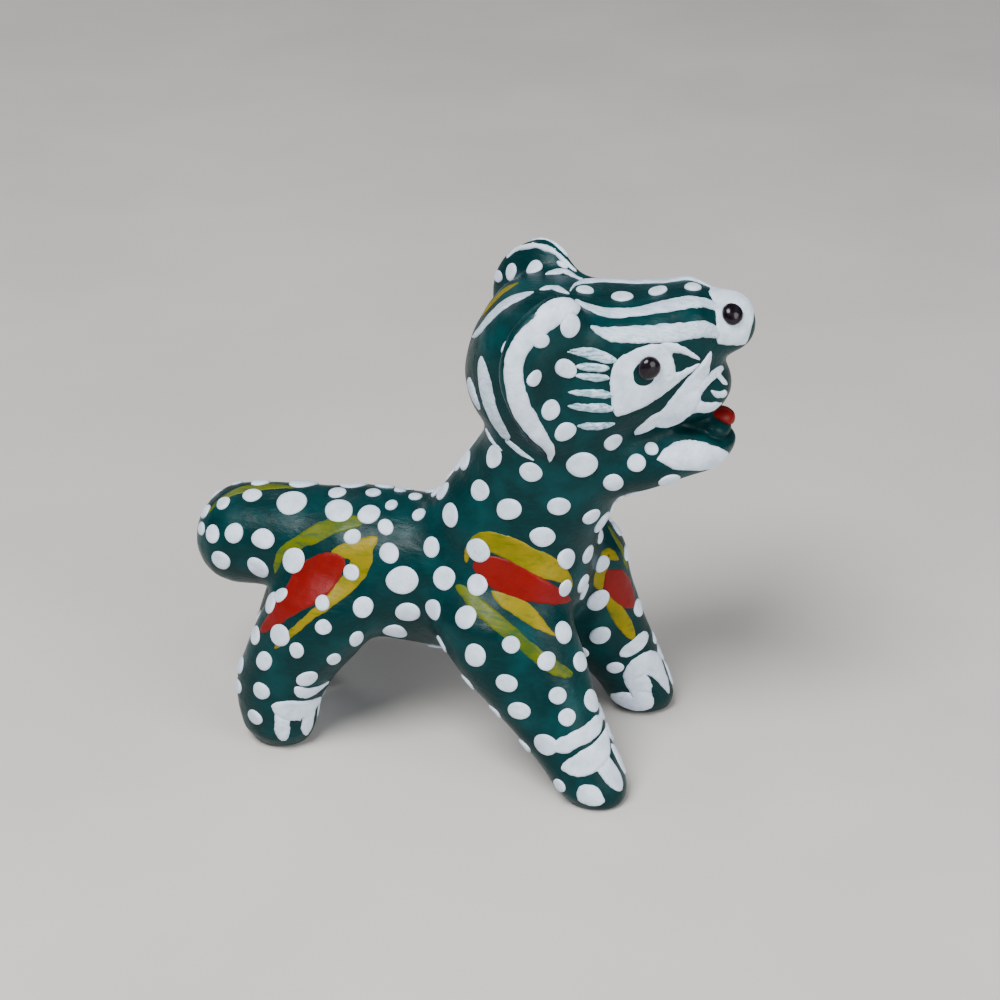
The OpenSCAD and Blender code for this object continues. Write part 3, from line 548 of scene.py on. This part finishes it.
def bead(tree, points):
    """A drop of paint that dried as a low dome."""
    base, out = on_skin(tree, points.mean(axis=0))
    radius = 0.5 * min(np.ptp(points, axis=0))
    u, v = frame_at(out)
    drop, faces = [], []
    for i in range(BEAD_RINGS + 1):
        lift = math.pi * i / BEAD_RINGS
        for j in range(1 if i in (0, BEAD_RINGS) else BEAD_SIDES):
            angle = 2 * math.pi * j / BEAD_SIDES
            r = radius * math.sin(lift) * (1 + 0.03 * math.cos(2 * angle + 1) + 0.02 * math.cos(3 * angle))
            high = radius * (BEAD_LIFT + BEAD_HALF_HEIGHT * math.cos(lift))
            drop.append(base + u * r * math.cos(angle) + v * r * math.sin(angle) + out * high)
    for i in range(BEAD_RINGS):
        start = 1 + (i - 1) * BEAD_SIDES
        for j in range(BEAD_SIDES):
            a, b = start + j, start + (j + 1) % BEAD_SIDES
            c, d = a + BEAD_SIDES, b + BEAD_SIDES
            if i == 0:
                a = b = 0  # the top point
            if i == BEAD_RINGS - 1:
                c = d = len(drop) - 1  # the lowest point
            faces.append(tuple(dict.fromkeys((a, c, d, b))))
    return np.array(drop), faces


def merged(parts):
    """Several (points, faces) as one."""
    points, faces, at = [], [], 0
    for p, f in parts:
        points.append(p)
        faces += [tuple(at + i for i in face) for face in f]
        at += len(p)
    return np.concatenate(points), faces


def painted(name, tree, material, slot, height=STROKE_HEIGHT):
    """One piece for a CAD paint node: beads, or dots where the CAD has discs, or else strokes."""
    rng = np.random.default_rng([SEED, *name.encode()])
    parts = []
    for points, faces in islands(name):
        if slot == "black_bead":
            parts.append(bead(tree, points))
            continue
        discs = discs_of(points, faces, tree)
        for base, out, radius in discs:
            parts.append(dot(tree, base, out, radius, rng))
        if not discs:
            made = stroke(tree, points, faces, height, SEED + len(parts) + len(name))
            if made:
                parts.append(made)
    piece = make(f"paint_{name}", *merged(parts), material, slot)
    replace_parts(piece, name)


FURROW_DEPTH, FURROW_WIDTH = 0.12, 0.3
TONGUE_TOP = -5.9  # the furrow is in what is higher than this


def tongue(material):
    """The tip of the tongue: its CAD lump, made fine and soft, with a shallow furrow along the middle."""
    bm = cad_mesh("tongue")
    mesh = bpy.data.meshes.new("scratch")
    bm.to_mesh(mesh)
    bm.free()
    points, edges, faces = remeshed(mesh)
    points = relax(points, edges, 0.5, 6)
    h = in_head(points)
    furrow = FURROW_DEPTH * np.exp(-((h[:, 1] / FURROW_WIDTH) ** 2)) * (h[:, 2] > TONGUE_TOP)
    points[:, 2] -= furrow
    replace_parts(make("clay_tongue", points, faces, material, "red_clay"), "tongue")


# ---- materials ----
# Colours are linear, in red, green and blue
# The green paint, then a lighter teal: in cloudy patches the teal is painted sheen, in streaks it is brush
# marks
GREENS = (0.0, 0.021, 0.023), (0.0, 0.042, 0.046)
GREEN_DUST = (0.05, 0.14, 0.14)
WHITES = (0.74, 0.85, 1.0), (0.53, 0.63, 0.76)
WHITE_MOTTLE, WHITE_SPECK = (0.4, 0.48, 0.58), (0.24, 0.27, 0.3)
GREEN_THROUGH_WHITE = (0.08, 0.25, 0.3)
REDS = (0.19, 0.004, 0.004), (0.14, 0.004, 0.004), (0.09, 0.004, 0.004)
YELLOWS = (0.24, 0.18, 0.001), (0.15, 0.14, 0.001), (0.04, 0.09, 0.005)
OLIVES = (0.11, 0.13, 0.002), (0.06, 0.10, 0.004), (0.006, 0.055, 0.025)
BLACKS = (0.004, 0.002, 0.005), (0.012, 0.008, 0.013)
FLOOR_GREYS = (0.60, 0.58, 0.55), (0.64, 0.62, 0.59)
# How much finer a pattern is along x, y and z, so that it runs on along x
FINE_STREAKS, LONG_STREAKS = (0.6, 1.5, 1.5), (0.3, 1.6, 1.6)


class Shader:
    """A short way to write a node material."""

    def __init__(self, name):
        self.material = bpy.data.materials.new(name)
        self.material.use_nodes = True
        self.tree = self.material.node_tree
        self.bsdf = self.tree.nodes["Principled BSDF"]
        where = self.tree.nodes.new("ShaderNodeTexCoord")
        scale = self.tree.nodes.new("ShaderNodeMapping")
        scale.inputs["Scale"].default_value = (1 / MM,) * 3
        self.tree.links.new(where.outputs["Object"], scale.inputs["Vector"])
        self.mm = scale.outputs["Vector"]

    def link(self, source, target):
        self.tree.links.new(source, target)

    def noise(self, size, detail=4.0, rough=0.55, distort=0.0, stretch=None):
        """Noise with features of that size in millimetres."""
        vector = self.mm
        if stretch:
            squeeze = self.tree.nodes.new("ShaderNodeMapping")
            squeeze.inputs["Scale"].default_value = stretch
            self.link(self.mm, squeeze.inputs["Vector"])
            vector = squeeze.outputs["Vector"]
        n = self.tree.nodes.new("ShaderNodeTexNoise")
        self.link(vector, n.inputs["Vector"])
        n.inputs["Scale"].default_value = 1 / size
        n.inputs["Detail"].default_value = detail
        n.inputs["Roughness"].default_value = rough
        n.inputs["Distortion"].default_value = distort
        return n.outputs["Fac"]

    def span(self, value, low, high, to_low=0.0, to_high=1.0):
        """The value with low..high stretched to to_low..to_high."""
        m = self.tree.nodes.new("ShaderNodeMapRange")
        self.link(value, m.inputs["Value"])
        limits = {"From Min": low, "From Max": high, "To Min": to_low, "To Max": to_high}
        for key, number in limits.items():
            m.inputs[key].default_value = number
        return m.outputs["Result"]

    def blend(self, share, a, b):
        """From a to b as share goes from 0 to 1. Both are sockets or (red, green, blue)."""
        m = self.tree.nodes.new("ShaderNodeMix")
        m.data_type = "RGBA"
        self.link(share, m.inputs["Factor"])
        for key, value in ((6, a), (7, b)):
            if isinstance(value, tuple):
                m.inputs[key].default_value = (*value, 1)
            else:
                self.link(value, m.inputs[key])
        return m.outputs[2]

    def bump(self, height, depth, under=None):
        """A relief of that depth in millimetres, on the relief under it."""
        b = self.tree.nodes.new("ShaderNodeBump")
        b.inputs["Distance"].default_value = depth * MM
        self.link(height, b.inputs["Height"])
        if under:
            self.link(under, b.inputs["Normal"])
        return b.outputs["Normal"]

    def done(self, colour, rough, normal=None, gloss=0.3):
        self.link(colour, self.bsdf.inputs["Base Color"])
        if isinstance(rough, float):
            self.bsdf.inputs["Roughness"].default_value = rough
        else:
            self.link(rough, self.bsdf.inputs["Roughness"])
        if normal:
            self.link(normal, self.bsdf.inputs["Normal"])
        self.bsdf.inputs["Specular IOR Level"].default_value = gloss
        return self.material


def brushed(s, base, second_tone):
    """A colour with cloudy and streaky variation towards a second tone. On the green paint the lighter
    cloudy patches are painted sheen and the lighter streaks are brush marks.
    """
    # On the green paint these lighter cloudy patches are painted sheen
    cloud = s.span(s.noise(3.2, 3), 0.45, 0.7)
    colour = s.blend(cloud, base, second_tone)
    lines = s.span(s.noise(0.35, 3, 0.6, 0.2, LONG_STREAKS), 0.5, 0.8, 0, 0.5)
    return s.blend(lines, colour, second_tone)


def green_paint():
    s = Shader("green_paint")
    # The lighter cloudy patches of this green are painted sheen; the lighter streaks are brush marks
    colour = brushed(s, *GREENS)
    dust = s.span(s.noise(0.14, 2, 0.5), 0.75, 0.8, 0, 0.35)
    colour = s.blend(dust, colour, GREEN_DUST)
    rough = s.span(s.noise(1.1, 4), 0.3, 0.7, 0.26, 0.42)
    normal = s.bump(s.noise(0.6, 4, 0.6, 0.3, FINE_STREAKS), 0.05)
    normal = s.bump(s.noise(0.14, 2), 0.008, normal)
    return s.done(colour, rough, normal, gloss=0.12)


def white_paint(name="white_paint", thin=0.0):
    """Thick white paint. Where it is thin, long brush streaks let the green show through."""
    s = Shader(name)
    cloud = s.span(s.noise(1.3, 4), 0.35, 0.7)
    colour = s.blend(cloud, *WHITES)
    mottle = s.span(s.noise(0.24, 4, 0.6), 0.5, 0.75, 0, 0.4)
    colour = s.blend(mottle, colour, WHITE_MOTTLE)
    specks = s.span(s.noise(0.11, 2, 0.5), 0.73, 0.78, 0, 0.5)
    colour = s.blend(specks, colour, WHITE_SPECK)
    if thin:
        gaps = s.span(s.noise(0.22, 3, 0.6, 0.1, (0.12, 1.3, 1.3)), 0.4, 0.66, 0.15 * thin, thin)
        colour = s.blend(gaps, colour, GREEN_THROUGH_WHITE)
    rough = s.span(s.noise(0.8, 3), 0.3, 0.7, 0.42, 0.58)
    normal = s.bump(s.noise(0.45, 3), 0.05)
    normal = s.bump(s.noise(0.16, 3, 0.6), 0.016, normal)
    return s.done(colour, rough, normal, gloss=0.25)


def colour_paint(name, base, second_tone, under, cover, amount=0.7):
    """Thin coloured paint with streaks of under. The lower cover is, the more streaks there are."""
    s = Shader(name)
    colour = brushed(s, base, second_tone)
    gaps = s.span(s.noise(0.6, 3, 0.6, 0.3, (0.35, 1.3, 1.3)), cover, cover + 0.25, 0, amount)
    colour = s.blend(gaps, colour, under)
    rough = s.span(s.noise(0.7, 3), 0.3, 0.7, 0.3, 0.46)
    normal = s.bump(s.noise(0.3, 3, 0.6, 0.3, FINE_STREAKS), 0.02)
    return s.done(colour, rough, normal, gloss=0.15)


def black_bead():
    s = Shader("black_bead")
    colour = s.blend(s.span(s.noise(0.5, 2), 0.4, 0.7), *BLACKS)
    normal = s.bump(s.noise(0.3, 2), 0.015)
    rough = s.span(s.noise(0.4, 2), 0.3, 0.7, 0.12, 0.22)
    return s.done(colour, rough, normal, gloss=0.28)


def floor_material():
    s = Shader("floor")
    colour = s.blend(s.span(s.noise(40, 3), 0.4, 0.6), *FLOOR_GREYS)
    return s.done(colour, 0.7)


# ---- build ----
GREEN = green_paint()
WHITE = white_paint()
STREAKED_WHITE = white_paint("streaked_white_paint", thin=0.45)
THIN_WHITE = white_paint("thin_white_paint", thin=1.0)
RED = colour_paint("red_paint", *REDS, cover=0.62, amount=0.4)
YELLOW = colour_paint("yellow_paint", *YELLOWS, cover=0.5)
OLIVE = colour_paint("olive_paint", *OLIVES, cover=0.44)
BLACK = black_bead()

skin_points, skin_faces, skin_away = grown_skin()
SKIN = tree_of(skin_points, skin_faces)
clay_pieces(skin_points, skin_faces, skin_away, GREEN)
tongue(RED)

LOOKS = {  # the material and the height of the paint in each slot
    "white_paint": (WHITE, STROKE_HEIGHT),
    "red_paint": (RED, PETAL_HEIGHT),
    "yellow_paint": (YELLOW, 0.8 * PETAL_HEIGHT),
    "olive_paint": (OLIVE, 0.7 * PETAL_HEIGHT),
    "green_paint": (GREEN, STROKE_HEIGHT),
    "black_bead": (BLACK, 0),
}
WORN_WHITES = {"lashes": THIN_WHITE, "ear_back": STREAKED_WHITE, "brow_strokes": STREAKED_WHITE}
for part in frame["record"]["subparts"]:
    slot = part["material_slot"]
    if slot in LOOKS:
        material, height = LOOKS[slot]
        for start, second_tone in WORN_WHITES.items():
            if part["node"].startswith(start):
                material = second_tone
        painted(part["node"], SKIN, material, slot, height)

# ---- floor, light and camera, in metres ----
low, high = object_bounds()
floor = bpy.data.meshes.new("floor")
FLOOR_HALF = 3
corners = [(x * FLOOR_HALF, y * FLOOR_HALF, 0) for x, y in ((-1, -1), (1, -1), (1, 1), (-1, 1))]
floor.from_pydata(corners, [], [(0, 1, 2, 3)])
floor.materials.append(floor_material())
floor_object = bpy.data.objects.new("floor", floor)
bpy.context.scene.collection.objects.link(floor_object)

LIT_POINT = Vector((0, 0, 0.018))


def softbox(name, at, size, watts):
    light = bpy.data.lights.new(name, "AREA")
    light.shape = "DISK"
    light.size = size
    light.energy = watts
    lamp = bpy.data.objects.new(name, light)
    lamp.location = at
    lamp.rotation_euler = (LIT_POINT - Vector(at)).to_track_quat("-Z", "Y").to_euler()
    bpy.context.scene.collection.objects.link(lamp)


softbox("key", at=(-0.07, -0.2, 0.34), size=0.2, watts=2.3)
softbox("fill", at=(0.34, -0.2, 0.18), size=0.3, watts=1.4)
softbox("back", at=(-0.3, 0.3, 0.3), size=0.2, watts=0.3)
world = bpy.data.worlds.new("world")
world.use_nodes = True
sky = world.node_tree.nodes["Background"]
sky.inputs["Color"].default_value = (0.86, 0.9, 1.0, 1)
sky.inputs["Strength"].default_value = 0.14
bpy.context.scene.world = world

AZIMUTH, ELEVATION, DISTANCE = math.radians(13), math.radians(28), 0.190
AIM_FROM_MIDDLE, AIM_HEIGHT = (0.0015, 0.007), 0.018
middle = (Vector(low) + Vector(high)) / 2
aim = Vector((middle.x + AIM_FROM_MIDDLE[0], middle.y + AIM_FROM_MIDDLE[1], AIM_HEIGHT))
level = math.cos(ELEVATION)
back = Vector((math.sin(AZIMUTH) * level, -math.cos(AZIMUTH) * level, math.sin(ELEVATION)))
camera = bpy.data.objects.new("camera", bpy.data.cameras.new("camera"))
camera.location = aim + DISTANCE * back
camera.rotation_euler = (-back).to_track_quat("-Z", "Y").to_euler()
camera.data.lens = 83.4
camera.data.sensor_width = 36
camera.data.clip_start = 0.01
bpy.context.scene.collection.objects.link(camera)
bpy.context.scene.camera = camera
